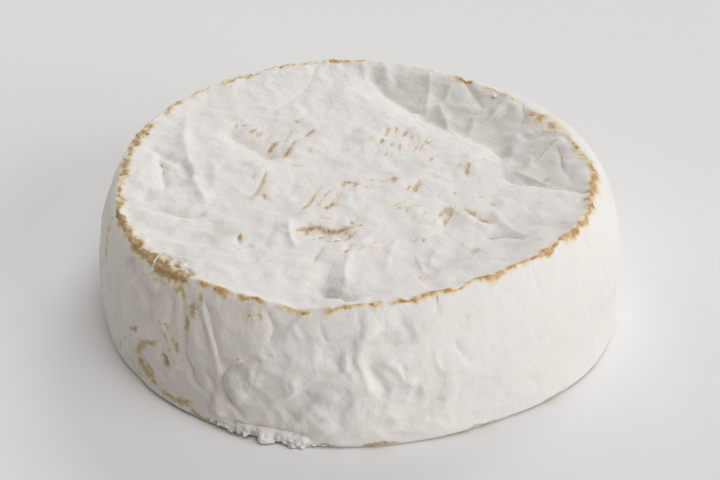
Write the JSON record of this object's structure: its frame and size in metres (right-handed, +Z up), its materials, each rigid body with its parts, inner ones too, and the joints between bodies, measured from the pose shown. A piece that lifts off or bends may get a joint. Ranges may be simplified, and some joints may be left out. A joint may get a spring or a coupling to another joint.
{
  "type": "cheese wheel",
  "caption": "Small uncut drum of soft cheese with a wrinkled white bloomy rind, a sagging wall and a ragged tan edge round the top. It stands on its flat base.",
  "frame": {"origin": "middle of the flat base, on the surface that the wheel stands on", "axes": "+Z up through the wheel's thickness; the pictured side of the wall faces -Y, with the worn notch in the rim towards -X and -Y"},
  "size_m": [0.1108, 0.1105, 0.0328],
  "materials": {
    "rind": "soft matte white mould rind with tan wear along the rim and short tan marks on the top"
  },
  "bodies": {
    "root": {"cheese_wheel": "rind"}
  },
  "joints": []
}
